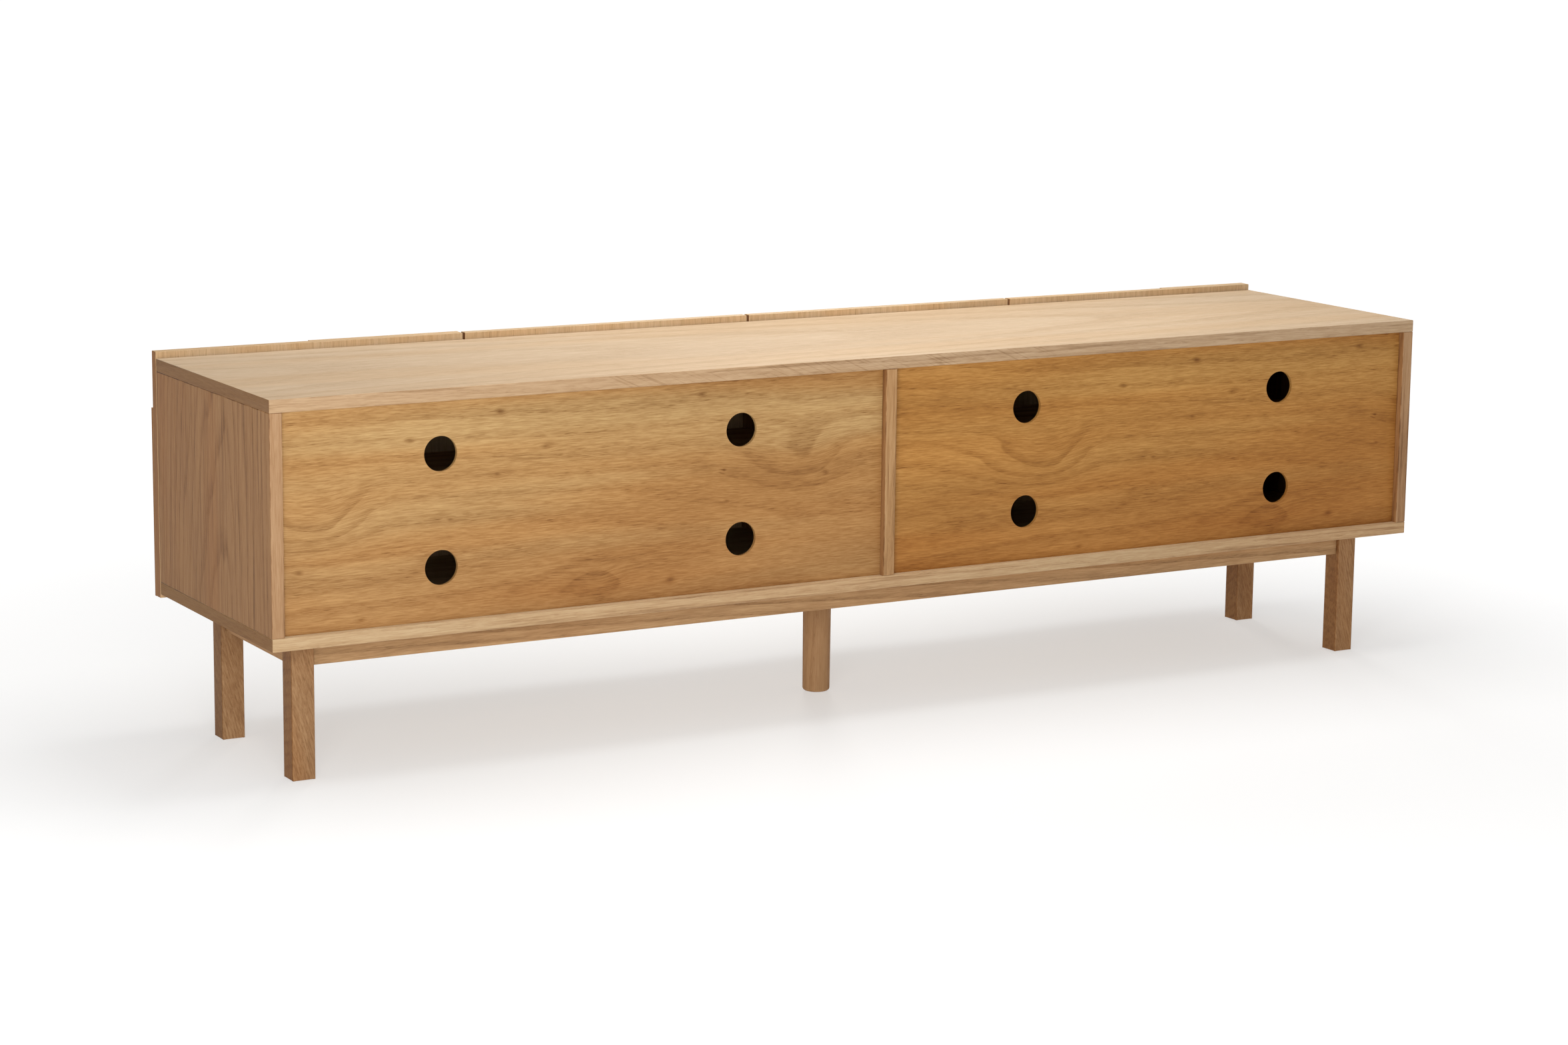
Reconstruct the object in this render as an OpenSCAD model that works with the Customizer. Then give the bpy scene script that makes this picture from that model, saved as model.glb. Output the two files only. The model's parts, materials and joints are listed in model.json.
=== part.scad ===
// Low media cabinet: an oak-faced case on a rail base with four square legs and a round centre leg,
// two bays with grooved-in back panels, four overlay doors on concealed hinges, and a shelf in each bay.
// Millimetres. +Z is up, the doors face -Y, and left and right are as seen from the front (-X and +X).

/* [Case] */
// Width over the two ends
cabinet_w = 2000; // [1600:10:2400]
// Depth of the case without its doors
case_d = 445; // [370:5:540]
// Height of the top surface above the floor
case_top = 560; // [540:5:675]
// Thickness of the top, bottom, side and divider boards
board_t = 19; // [18:0.5:24]
// Height of the space below the case
leg_h = 205; // [170:5:226]

/* [Back panels] */
// Thickness of the back panels
back_t = 5.5; // [4:0.5:8]
// Distance from the rear edges of the case to the back panels
back_recess = 11.5; // [8:0.5:20]
// Depth of the grooves that hold the back panels
groove_depth = 6; // [4:0.5:7]
// Play of a back panel in its grooves, all round and across its thickness
groove_play = 0.2; // [0.1:0.1:0.5]
// Diameter of the cable holes
cable_hole_d = 51; // [35:1:65]
// Distance from the middle of a bay to its cable holes
cable_hole_dx = 243; // [120:1:300]
// Distance from the middle height of a bay to its cable holes
cable_hole_dz = 82; // [60:1:90]

/* [Doors] */
// Gap between neighbouring doors
door_gap = 4; // [3.5:0.5:6]
// Gap between the case and the closed doors
bumper_gap = 2; // [2:0.1:4]
// Thickness of the door boards
door_t = 16; // [15.5:0.1:20]
// How far the doors stand above the top surface
door_rise = 10; // [0:1:20]
// How far the doors hang below the case
door_drop = 6; // [0:1:15]
// Thickness of the raised panels on the door fronts
raised_t = 7; // [3:0.5:7]
// Groove between two raised panels on one door
raised_groove = 4; // [2:0.5:10]
// Height of the lower raised panels
raised_low_h = 215; // [100:5:260]
// Height of the middle raised panels
raised_mid_h = 285; // [200:5:300]
// Width of the tall raised panel at the hinge edge of the first door
raised_tall_w = 174; // [100:1:250]
// Bare strip beside the hinge edge of a door on the divider
raised_hinge_clear = 24; // [22:1:60]

/* [Hinges] */
// Distance from a door's top or bottom edge to its hinge
hinge_inset = 75; // [65:1:85]
// Distance from a door's edge to the hinge pin
pin_edge = 6.5; // [6.2:0.1:6.6]
// Distance from the hinge pin to the front face of a door board
pin_front = 4.5; // [4:0.1:4.6]
// Radius of the hinge pins
pin_r = 1; // [0.9:0.05:1.1]
// Length of the hinge pins
pin_len = 15; // [13:0.5:15]
// Radial running clearance of the hinge pins
pin_play = 0.05; // [0.02:0.01:0.1]
// Diameter of the hinge cups
cup_d = 35; // [35:0.5:40]
// Distance from a door's edge to the cup bore
cup_edge = 3; // [3:0.1:3.2]
// Width of a hinge arm
arm_w = 9; // [7:0.5:9]
// Thickness of a hinge arm
arm_t = 2; // [1.5:0.1:2]
// Reach of a hinge arm back into the case
arm_len = 57; // [50:1:70]
// Thickness of the mounting plates under the hinge arms
plate_t = 5.5; // [4:0.5:6]

/* [Shelves] */
// Thickness of the shelves
shelf_t = 16; // [12:1:19]
// Distance from the case's front edge to a shelf's front edge
shelf_setback = 15; // [10:1:60]
// Gap at each end of a shelf and behind it
shelf_play = 1; // [0.5:0.5:3]
// Diameter of the shelf pins
shelf_pin_d = 5; // [4:0.5:6]
// Height step between shelf-pin holes
pin_hole_step = 32; // [25:1:40]

/* [Base] */
// Width of the square legs
leg_w = 35; // [30:1:45]
// Radius of the square legs' edges
leg_edge_r = 2.5; // [1:0.5:5]
// Distance from the ends of the case to the legs
leg_end_inset = 52; // [30:1:90]
// Distance from the rear edge of the case to the rear legs
leg_rear_inset = 61; // [30:1:90]
// Distance from the front edge of the case to the front legs
leg_front_inset = 76; // [30:1:100]
// Height of the rails
rail_h = 40; // [36:1:60]
// Thickness of the rails
rail_t = 20; // [18:1:22]
// How far the rails are set back from the legs' outer faces
rail_setback = 7; // [3:0.5:8]
// Diameter of the centre leg at its top
centre_leg_top_d = 45; // [36:1:60]
// Diameter of the centre leg at its foot
centre_leg_foot_d = 43; // [30:1:45]
// Radius around the foot of the centre leg
centre_leg_foot_r = 5; // [1:0.5:8]
// How far the foot pads stand out of the legs
pad_proud = 0.5; // [0.3:0.1:2]
// Leg of the triangular corner blocks
block_leg = 62; // [50:1:80]

/* [Hidden] */
$fn = 48;
fit = 0.05;                                  // radial clearance of dowels, screws and pins
face_gap = 0.1;                              // clearance between two parts that only meet
past = 1;                                    // how far a cutting tool runs past a face

// Overall positions
door_front_t = door_t + raised_t;
overall_d = case_d + bumper_gap + door_front_t;
y_rear = overall_d / 2;
y_front = y_rear - case_d;
y_door = y_front - bumper_gap;
x_end = cabinet_w / 2;
x_side = x_end - board_t;                    // inner face of an end panel
x_div = board_t / 2;                         // face of the divider
z_floor = leg_h + board_t;                   // floor of the bays
z_ceiling = case_top - board_t;
z_mid = (z_floor + z_ceiling) / 2;
bay_x = (x_side + x_div) / 2;

// Back panels
y_back = y_rear - back_recess;               // rear face of the back panels
groove_w = back_t + 2 * groove_play;
panel_in = groove_depth - groove_play;       // how far a back panel enters its grooves

// Doors: 0 to 3 from the left end
DOORS = [0, 1, 2, 3];
door_w = (cabinet_w - 3 * door_gap) / 4;
door_meet_x = door_w + door_gap;             // middle of the gap between the two doors of a bay
door_z = leg_h - door_drop;
door_h = case_top + door_rise - door_z;
function hinged_right(i) = i == 1 || i == 3;
function door_left(i) = -x_end + i * (door_w + door_gap);
function hinge_edge(i) = door_left(i) + (hinged_right(i) ? door_w : 0);
HINGE_Z = [door_z + hinge_inset, door_z + door_h - hinge_inset];

// Raised panels of each door: [distance from the hinge edge, width, height]
half_w = (door_w - raised_groove) / 2;
RAISED = [
    [
        [0, raised_tall_w, door_h],
        [raised_tall_w + raised_groove, door_w - raised_tall_w - raised_groove, raised_low_h]
    ],
    [
        [raised_hinge_clear, half_w - raised_hinge_clear, raised_mid_h]
    ],
    [
        [half_w + raised_groove, half_w, raised_low_h]
    ],
    [
        [0, half_w, raised_mid_h],
        [half_w + raised_groove, half_w, door_h]
    ]
];

// Hinges
pin_depth = door_t - pin_front;
eye_r = 1.7;
eye_h = arm_w;
cup_floor = 0.5;
cup_depth = pin_depth + eye_r + face_gap + cup_floor;
cup_u = cup_edge + cup_d / 2;
cup_wall_gap = 0.05;
flange_t = 1;
flange_u = [4.5, 44];
flange_h = 62;
pocket_w = arm_w + 1;
pocket_u = [4.2, 34];
crank_depth = 8;                             // where a divider arm turns towards the divider
cup_screw_r = 1.75;
cup_screw_dz = 24;
cup_screw_u = cup_u + 5.5;
cup_screw_len = 12;
arm_u = board_t + plate_t;                   // face of an end-panel arm towards its plate
div_face_u = x_div - door_gap / 2;           // divider face, from the door's hinge edge
div_arm_u = div_face_u + plate_t;
plate_len = 38;
plate_h = 34;
plate_back = bumper_gap + arm_len - 1;       // rear end of a mounting plate, from the door's inner face
plate_screw_r = 1.75;
plate_screw_len = 9;
plate_screw_dz = 11;

// Door catches and bumpers
catch_size = [46, 15, 12];
catch_from_gap = 6;                          // catch edge to the middle of the bay
catch_stand_out = 0.4;
strike_size = [40, 11];
strike_t = 1.2;
bumper_r = 4;
bumper_t = bumper_gap - 0.2;
bumper_edge = 14;

// Shelves
y_shelf_rear = y_back - back_t - shelf_play - groove_play;
y_shelf_front = y_front + shelf_setback;
shelf_z = z_mid - shelf_t / 2;
pin_in = 8;
pin_out = 9;
pin_hole_depth = 8.6;
pin_z = shelf_z - shelf_pin_d / 2;
PIN_Y = [y_shelf_front + 50, y_shelf_rear - 50];
PIN_STEPS = [-1, 0, 1];

// Joinery
dowel_r = 4;
dowel_len = 30;
dowel_in_board = 9;                          // length of a dowel in the top or bottom board
DOWEL_Y = [y_front + 40, (y_front + y_rear) / 2, y_rear - 50];
JOINT_X = [-x_end + board_t / 2, 0, x_end - board_t / 2];
cam_r = 7.5;
cam_depth = 13;
cam_drop = 34;                               // cam centre below the top board
cam_bolt_r = 3;
cam_bolt_head_r = 3.6;
CAM_Y = [y_front + 90, y_rear - 100];
case_screw_r = 2.5;
case_screw_head_r = 5;
case_screw_head_h = 3.5;
case_screw_len = 50;

// Base
x_leg = x_end - leg_end_inset;               // outer faces of the square legs
y_leg_rear = y_rear - leg_rear_inset;
y_leg_front = y_front + leg_front_inset;
x_leg_in = x_leg - leg_w;
y_leg_rear_in = y_leg_rear - leg_w;
y_leg_front_in = y_leg_front + leg_w;
y_leg_mid = (y_leg_rear + y_leg_front) / 2;
x_rail = x_leg - rail_setback;
y_rail_rear = y_leg_rear - rail_setback;
y_rail_front = y_leg_front + rail_setback;
rail_z = leg_h - rail_h;
pad_r = 11;
pad_t = 3;
block_h = 25;
block_notch = leg_w - rail_t - rail_setback;
block_bolt_r = 3;
block_bolt_len = 52;
block_nut_r = 6;
block_nut_t = 5;
block_screw_r = 2;
block_screw_head_r = 4;
block_screw_head_h = 2.5;
block_screw_into = 12;
block_screw_at = 34;
block_screw_off = 9;
plate_side = 70;
plate_thick = 3;
stud_r = 4;
stud_len = 30;
plate_hole = 27;
base_dowel_r = 4;
base_dowel_len = 36;
base_dowel_in_leg = 14;
BASE_DOWEL_Z = [leg_h - 11, leg_h - rail_h + 11];

OAK = [0.80, 0.64, 0.45];
OAK_SOLID = [0.70, 0.52, 0.36];
OAK_GOLD = [0.76, 0.55, 0.28];
BEECH = [0.86, 0.74, 0.56];
STEEL = [0.72, 0.73, 0.75];
PLASTIC = [0.25, 0.25, 0.26];

// A box between two corners
module box(low, high) {
    translate(low)
        cube(high - low);
}

// Children as they are on the right, or mirrored to the left
module on_side(side) {
    if (side < 0)
        mirror([1, 0, 0])
            children();
    else
        children();
}

// A cylinder along +X, +Y or +Z from a point
module rod_x(at, r, h) {
    translate(at)
        rotate([0, 90, 0])
            cylinder(r = r, h = h);
}

module rod_y(at, r, h) {
    translate(at)
        rotate([-90, 0, 0])
            cylinder(r = r, h = h);
}

module rod_z(at, r, h) {
    translate(at)
        cylinder(r = r, h = h);
}

// A door's own frame: x from its hinge edge, y forwards from its inner face, z from the floor
module on_door(i) {
    translate([hinge_edge(i), y_door, 0])
        if (hinged_right(i))
            rotate(180)
                children();
        else
            mirror([0, 1, 0])
                children();
}

// Vertical joints between the upright boards and the top and bottom boards
module dowel_set(grow) {
    for (x = JOINT_X, y = DOWEL_Y) {
        for (z = [z_ceiling + dowel_in_board - dowel_len, z_floor - dowel_in_board])
            rod_z([x, y, z - grow], dowel_r + grow, dowel_len + 2 * grow);
    }
}

module cam_bolt_set(grow) {
    for (x = JOINT_X, y = CAM_Y) {
        z = z_ceiling - cam_drop - grow;
        rod_z([x, y, z], cam_bolt_r + grow, cam_drop + dowel_in_board + 2 * grow);
        rod_z([x, y, z], cam_bolt_head_r + grow, cam_bolt_r + 2 * grow);
    }
}

// A cam disc lies in the inner face of its upright, open towards the bay on its left or right
module cam_set(grow, deep) {
    for (y = CAM_Y) {
        z = z_ceiling - cam_drop + cam_bolt_r / 2;
        rod_x([-x_side - deep, y, z], cam_r + grow, deep);
        rod_x([-x_div, y, z], cam_r + grow, deep);
        rod_x([x_side, y, z], cam_r + grow, deep);
    }
}

module case_screw_set(grow) {
    for (x = JOINT_X, y = CAM_Y) {
        rod_z([x, y, leg_h - grow], case_screw_head_r + grow, case_screw_head_h + 2 * grow);
        rod_z([x, y, leg_h], case_screw_r + grow, case_screw_len + grow);
    }
}

module shelf_pin_holes() {
    for (y = PIN_Y, step = PIN_STEPS) {
        z = pin_z + step * pin_hole_step;
        rod_x([x_side - past, y, z], shelf_pin_d / 2 + fit, pin_hole_depth + past);
        rod_x([-x_side - pin_hole_depth, y, z], shelf_pin_d / 2 + fit, pin_hole_depth + past);
        rod_x([x_div - pin_hole_depth, y, z], shelf_pin_d / 2 + fit, pin_hole_depth + past);
        rod_x([-x_div - past, y, z], shelf_pin_d / 2 + fit, pin_hole_depth + past);
    }
}

// The grooves for the back panels of both bays, cut into every board round them
module back_grooves() {
    for (side = [-1, 1])
        on_side(side)
            box([x_div - groove_depth, y_back + groove_play - groove_w, z_floor - groove_depth],
                [x_side + groove_depth, y_back + groove_play, z_ceiling + groove_depth]);
}

// Screws through the corner blocks into the bottom board
module base_screw_set(grow) {
    each_corner()
        for (at = [[block_screw_at, block_screw_off], [block_screw_off, block_screw_at]]) {
            low = [-at[0], -at[1], leg_h - block_h - grow];
            rod_z(low, block_screw_head_r + grow, block_screw_head_h + 2 * grow);
            rod_z(low, block_screw_r + grow, block_h + block_screw_into + 2 * grow);
        }
}

// Children at each of the four corners between the rails, with x and y pointing out to the corner
module each_corner() {
    for (side = [-1, 1])
        on_side(side) {
            translate([x_rail - rail_t, y_rail_rear - rail_t, 0])
                children();
            translate([x_rail - rail_t, y_rail_front + rail_t, 0])
                mirror([0, 1, 0])
                    children();
        }
}

module centre_screw_set(grow) {
    for (dx = [-plate_hole, plate_hole], dy = [-plate_hole, plate_hole])
        translate([dx, y_leg_mid + dy, leg_h - plate_thick]) {
            rod_z([0, 0, -block_screw_head_h], block_screw_head_r + grow, block_screw_head_h);
            rod_z([0, 0, 0], block_screw_r + grow, plate_thick + block_screw_into + grow);
        }
}

module plate_screw_set(grow) {
    for (i = DOORS)
        on_door(i)
            for (z = HINGE_Z, dz = [-plate_screw_dz, plate_screw_dz]) {
                face = i == 0 || i == 3 ? board_t : div_face_u;
                y = -(plate_back - plate_len / 2);
                rod_x([face - plate_screw_len, y, z + dz], plate_screw_r + grow, plate_screw_len + plate_t);
            }
}

module top_panel() {
    color(OAK)
        difference() {
            box([-x_end, y_front, z_ceiling], [x_end, y_rear, case_top]);
            back_grooves();
            dowel_set(fit);
            cam_bolt_set(fit);
        }
}

module bottom_panel() {
    color(OAK)
        difference() {
            box([-x_end, y_front, leg_h], [x_end, y_rear, z_floor]);
            back_grooves();
            dowel_set(fit);
            case_screw_set(fit);
            base_screw_set(fit);
            centre_screw_set(fit);
        }
}

// An upright board with everything that is let into it
module upright(x0, x1) {
    color(OAK)
        difference() {
            box([x0, y_front, z_floor], [x1, y_rear, z_ceiling]);
            back_grooves();
            dowel_set(fit);
            cam_bolt_set(fit);
            cam_set(fit, cam_depth + fit);
            case_screw_set(fit);
            shelf_pin_holes();
            plate_screw_set(fit);
        }
}

module back_panel(side) {
    color(OAK_GOLD)
        on_side(side)
            difference() {
                box([x_div - panel_in, y_back - back_t, z_floor - panel_in],
                    [x_side + panel_in, y_back, z_ceiling + panel_in]);
                for (dx = [-cable_hole_dx, cable_hole_dx], dz = [-cable_hole_dz, cable_hole_dz])
                    rod_y([bay_x + dx, y_back - back_t - past, z_mid + dz],
                          cable_hole_d / 2, back_t + 2 * past);
            }
}

module shelf(side) {
    color(OAK)
        on_side(side)
            box([x_div + shelf_play, y_shelf_front, shelf_z],
                [x_side - shelf_play, y_shelf_rear, shelf_z + shelf_t]);
}

module shelf_pins() {
    color(STEEL)
        for (y = PIN_Y, x = [x_side - pin_out, x_div - pin_in, -x_div - pin_out, -x_side - pin_in])
            rod_x([x, y, pin_z], shelf_pin_d / 2, pin_in + pin_out);
}

module case_dowels() {
    color(BEECH)
        dowel_set(0);
}

module cam_locks() {
    color(STEEL)
        difference() {
            cam_set(0, cam_depth);
            cam_bolt_set(fit);
        }
}

module cam_bolts() {
    color(STEEL)
        cam_bolt_set(0);
}

module case_screws() {
    color(STEEL)
        case_screw_set(0);
}

// A rail along X behind or in front of the case's underside
module long_rail(y_outer, inwards) {
    color(OAK_SOLID)
        difference() {
            box([-x_leg_in, min(y_outer, y_outer + inwards * rail_t), rail_z],
                [x_leg_in, max(y_outer, y_outer + inwards * rail_t), leg_h]);
            base_dowel_set(fit);
        }
}

module side_rail(side) {
    color(OAK_SOLID)
        on_side(side)
            difference() {
                box([x_rail - rail_t, y_leg_front_in, rail_z], [x_rail, y_leg_rear_in, leg_h]);
                base_dowel_set(fit);
            }
}

// Dowels between the rails and the square legs, the same at all four corners
module base_dowel_set(grow) {
    for (side = [-1, 1], z = BASE_DOWEL_Z)
        on_side(side) {
            for (y = [y_rail_rear - rail_t / 2, y_rail_front + rail_t / 2])
                rod_x([x_leg_in + base_dowel_in_leg - base_dowel_len - grow, y, z],
                    base_dowel_r + grow, base_dowel_len + 2 * grow);
            for (y = [y_leg_rear_in - base_dowel_len + base_dowel_in_leg, y_leg_front_in - base_dowel_in_leg])
                rod_y([x_rail - rail_t / 2, y - grow, z],
                    base_dowel_r + grow, base_dowel_len + 2 * grow);
        }
}

// A square with round corners, from straight and round pieces
module rounded_square(size, r) {
    translate([r, 0])
        square([size - 2 * r, size]);
    translate([0, r])
        square([size, size - 2 * r]);
    for (x = [r, size - r], y = [r, size - r])
        translate([x, y])
            circle(r = r);
}

module square_leg(x0, y0) {
    color(OAK_SOLID)
        difference() {
            translate([x0, y0, pad_proud])
                linear_extrude(leg_h - pad_proud)
                    rounded_square(leg_w, leg_edge_r);
            rod_z([x0 + leg_w / 2, y0 + leg_w / 2, 0], pad_r + fit, pad_t + face_gap);
            base_dowel_set(fit);
            corner_bolt_set(fit);
        }
}

module centre_leg() {
    top_r = centre_leg_top_d / 2;
    foot_r = centre_leg_foot_d / 2;
    height = leg_h - plate_thick - pad_proud;
    color(OAK_SOLID)
        difference() {
            translate([0, y_leg_mid, pad_proud])
                rotate_extrude()
                    union() {
                        polygon([[0, 0], [foot_r - centre_leg_foot_r, 0], [foot_r - centre_leg_foot_r,
                            centre_leg_foot_r], [foot_r, centre_leg_foot_r], [top_r, height], [0, height]]);
                        translate([foot_r - centre_leg_foot_r, centre_leg_foot_r])
                            intersection() {
                                circle(r = centre_leg_foot_r);
                                translate([0, -centre_leg_foot_r])
                                    square(centre_leg_foot_r);
                            }
                    }
            rod_z([0, y_leg_mid, 0], pad_r + fit, pad_t + face_gap);
            rod_z([0, y_leg_mid, leg_h - plate_thick - stud_len - face_gap], stud_r + fit, stud_len + past);
        }
}

module centre_leg_plate() {
    color(STEEL)
        difference() {
            union() {
                box([-plate_side / 2, y_leg_mid - plate_side / 2, leg_h - plate_thick],
                    [plate_side / 2, y_leg_mid + plate_side / 2, leg_h]);
                rod_z([0, y_leg_mid, leg_h - plate_thick - stud_len], stud_r, stud_len + plate_thick / 2);
            }
            centre_screw_set(fit);
        }
}

module centre_leg_screws() {
    color(STEEL)
        centre_screw_set(0);
}

module foot_pads() {
    color(PLASTIC) {
        for (side = [-1, 1], y = [y_leg_rear - leg_w / 2, y_leg_front + leg_w / 2])
            rod_z([side * (x_leg - leg_w / 2), y, 0], pad_r, pad_t);
        rod_z([0, y_leg_mid, 0], pad_r, pad_t);
    }
}

module base_dowels() {
    color(BEECH)
        base_dowel_set(0);
}

// A bolt runs along each corner's diagonal, through the block and into the leg
module corner_bolt_set(grow) {
    each_corner()
        translate([-block_leg / 2, -block_leg / 2, leg_h - block_h / 2])
            rotate([0, 0, 45])
                rod_x([-block_nut_t - 1, 0, 0], block_bolt_r + grow, block_bolt_len + grow);
}

module corner_blocks() {
    color(BEECH)
        difference() {
            each_corner()
                translate([0, 0, leg_h - block_h])
                    linear_extrude(block_h)
                        polygon([[-block_notch, 0], [-block_leg, 0], [0, -block_leg],
                            [0, -block_notch], [-block_notch, -block_notch]]);
            corner_bolt_set(fit);
            base_screw_set(fit);
        }
}

module corner_bolts() {
    color(STEEL)
        corner_bolt_set(0);
}

module corner_nuts() {
    color(STEEL)
        each_corner()
            translate([-block_leg / 2, -block_leg / 2, leg_h - block_h / 2])
                rotate([0, 0, 45])
                    difference() {
                        translate([-block_nut_t, 0, 0])
                            rotate([0, 90, 0])
                                cylinder(r = block_nut_r, h = block_nut_t, $fn = 6);
                        rod_x([-block_nut_t - past, 0, 0], block_bolt_r + fit, block_nut_t + 2 * past);
                    }
}

module base_screws() {
    color(STEEL)
        base_screw_set(0);
}

// One hinge arm in its door's frame: an eye on the pin, a leg along the cup, and a leg back into the case
module hinge_arm(z, leg_u, mount_u) {
    cranked = mount_u < leg_u;
    y_turn = cranked ? -bumper_gap - crank_depth : -bumper_gap - arm_len;
    difference() {
        union() {
            rod_z([pin_edge, pin_depth, z - eye_h / 2], eye_r, eye_h);
            box([pin_edge, pin_depth - arm_t / 2, z - arm_w / 2],
                [leg_u + arm_t, pin_depth + arm_t / 2, z + arm_w / 2]);
            box([leg_u, y_turn, z - arm_w / 2], [leg_u + arm_t, pin_depth, z + arm_w / 2]);
            if (cranked) {
                box([mount_u, y_turn, z - arm_w / 2], [leg_u + arm_t, y_turn + arm_t, z + arm_w / 2]);
                box([mount_u, -bumper_gap - arm_len, z - arm_w / 2],
                    [mount_u + arm_t, y_turn + arm_t, z + arm_w / 2]);
            }
        }
        rod_z([pin_edge, pin_depth, z - eye_h / 2 - past], pin_r + pin_play, eye_h + 2 * past);
    }
}

module hinge_arms_side() {
    color(STEEL)
        for (i = [0, 3])
            on_door(i)
                for (z = HINGE_Z)
                    hinge_arm(z, arm_u, arm_u);
}

module hinge_arms_divider() {
    color(STEEL)
        for (i = [1, 2])
            on_door(i)
                for (z = HINGE_Z)
                    hinge_arm(z, arm_u, div_arm_u);
}

module hinge_plates() {
    color(STEEL)
        difference() {
            for (i = DOORS)
                on_door(i)
                    for (z = HINGE_Z) {
                        face = i == 0 || i == 3 ? board_t : div_face_u;
                        box([face, -plate_back, z - plate_h / 2],
                            [face + plate_t, -plate_back + plate_len, z + plate_h / 2]);
                    }
            plate_screw_set(fit);
        }
}

module hinge_plate_screws() {
    color(STEEL)
        plate_screw_set(0);
}

module magnet_catches() {
    color(PLASTIC)
        for (side = [-1, 1], half = [-1, 1]) {
            x0 = side * door_meet_x + (half > 0 ? catch_from_gap : -catch_from_gap - catch_size[0]);
            box([x0, y_front - catch_stand_out, z_ceiling - catch_size[2]],
                [x0 + catch_size[0], y_front - catch_stand_out + catch_size[1], z_ceiling]);
        }
}

module door_panel(i) {
    color(OAK)
        on_door(i)
            difference() {
                box([0, 0, door_z], [door_w, door_t, door_z + door_h]);
                for (z = HINGE_Z) {
                    rod_y([cup_u, -past, z], cup_d / 2, cup_depth + past);
                    for (dz = [-cup_screw_dz, cup_screw_dz])
                        rod_y([cup_screw_u, -past, z + dz], cup_screw_r + fit, cup_screw_len + past);
                }
            }
}

module door_raised(i, k) {
    panel = RAISED[i][k];
    color(OAK)
        on_door(i)
            box([panel[0], door_t, door_z], [panel[0] + panel[1], door_front_t, door_z + panel[2]]);
}

// The pair of cups on a door, each with its flange and its two screws' heads
module door_hinge_cups(i) {
    color(STEEL)
        on_door(i)
            for (z = HINGE_Z)
                difference() {
                    union() {
                        rod_y([cup_u, 0, z], cup_d / 2 - cup_wall_gap, cup_depth - cup_wall_gap);
                        box([flange_u[0], -flange_t, z - cup_d / 2 + 3], [flange_u[1], 0, z + cup_d / 2 - 3]);
                        box([cup_screw_u - 6, -flange_t, z - flange_h / 2],
                            [cup_screw_u + 6, 0, z + flange_h / 2]);
                        for (dz = [-cup_screw_dz, cup_screw_dz])
                            rod_y([cup_screw_u, -flange_t, z + dz], cup_screw_r, cup_screw_len + flange_t);
                    }
                    box([pocket_u[0], -flange_t - past, z - pocket_w / 2],
                        [pocket_u[1], cup_depth - cup_floor, z + pocket_w / 2]);
                    rod_z([pin_edge, pin_depth, z - pin_len / 2], pin_r, pin_len);
                }
}

module door_hinge_pins(i) {
    color(STEEL)
        on_door(i)
            for (z = HINGE_Z)
                rod_z([pin_edge, pin_depth, z - pin_len / 2], pin_r, pin_len);
}

module door_strike_plate(i) {
    color(STEEL)
        on_door(i) {
            u = door_w + door_gap / 2 - catch_from_gap - catch_size[0] / 2;
            z = z_ceiling - catch_size[2] / 2;
            box([u - strike_size[0] / 2, -strike_t, z - strike_size[1] / 2],
                [u + strike_size[0] / 2, 0, z + strike_size[1] / 2]);
        }
}

// Soft pads on the front edges of the top and bottom boards, one behind each free corner of a door
module door_bumpers() {
    color(PLASTIC)
        for (side = [-1, 1], half = [-1, 1], z = [leg_h + board_t / 2, case_top - board_t / 2]) {
            x = side * door_meet_x + half * (door_gap / 2 + bumper_edge);
            rod_y([x, y_front - bumper_t, z], bumper_r, bumper_t);
        }
}

top_panel();
bottom_panel();
upright(-x_end, -x_side);  // side_panel_left
upright(x_side, x_end);  // side_panel_right
upright(-x_div, x_div);  // centre_divider
back_panel(-1);  // back_panel_left
back_panel(1);  // back_panel_right
shelf(-1);  // shelf_left
shelf(1);  // shelf_right
shelf_pins();
case_dowels();
cam_locks();
cam_bolts();
case_screws();
long_rail(y_rail_rear, -1);  // rear_rail
long_rail(y_rail_front, 1);  // front_rail
side_rail(-1);  // side_rail_left
side_rail(1);  // side_rail_right
square_leg(-x_leg, y_leg_rear_in);  // leg_rear_left
square_leg(x_leg_in, y_leg_rear_in);  // leg_rear_right
square_leg(-x_leg, y_leg_front);  // leg_front_left
square_leg(x_leg_in, y_leg_front);  // leg_front_right
centre_leg();
centre_leg_plate();
centre_leg_screws();
foot_pads();
base_dowels();
corner_blocks();
corner_bolts();
corner_nuts();
base_screws();
hinge_arms_side();
hinge_arms_divider();
hinge_plates();
hinge_plate_screws();
magnet_catches();
door_bumpers();
door_panel(0);  // door_1_panel
door_raised(0, 0);  // door_1_raised_outer
door_raised(0, 1);  // door_1_raised_inner
door_hinge_cups(0);  // door_1_hinge_cups
door_hinge_pins(0);  // door_1_hinge_pins
door_strike_plate(0);  // door_1_strike_plate
door_panel(1);  // door_2_panel
door_raised(1, 0);  // door_2_raised
door_hinge_cups(1);  // door_2_hinge_cups
door_hinge_pins(1);  // door_2_hinge_pins
door_strike_plate(1);  // door_2_strike_plate
door_panel(2);  // door_3_panel
door_raised(2, 0);  // door_3_raised
door_hinge_cups(2);  // door_3_hinge_cups
door_hinge_pins(2);  // door_3_hinge_pins
door_strike_plate(2);  // door_3_strike_plate
door_panel(3);  // door_4_panel
door_raised(3, 0);  // door_4_raised_outer
door_raised(3, 1);  // door_4_raised_inner
door_hinge_cups(3);  // door_4_hinge_cups
door_hinge_pins(3);  // door_4_hinge_pins
door_strike_plate(3);  // door_4_strike_plate
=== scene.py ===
import json
import math

import bpy
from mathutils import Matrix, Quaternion, Vector

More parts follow.
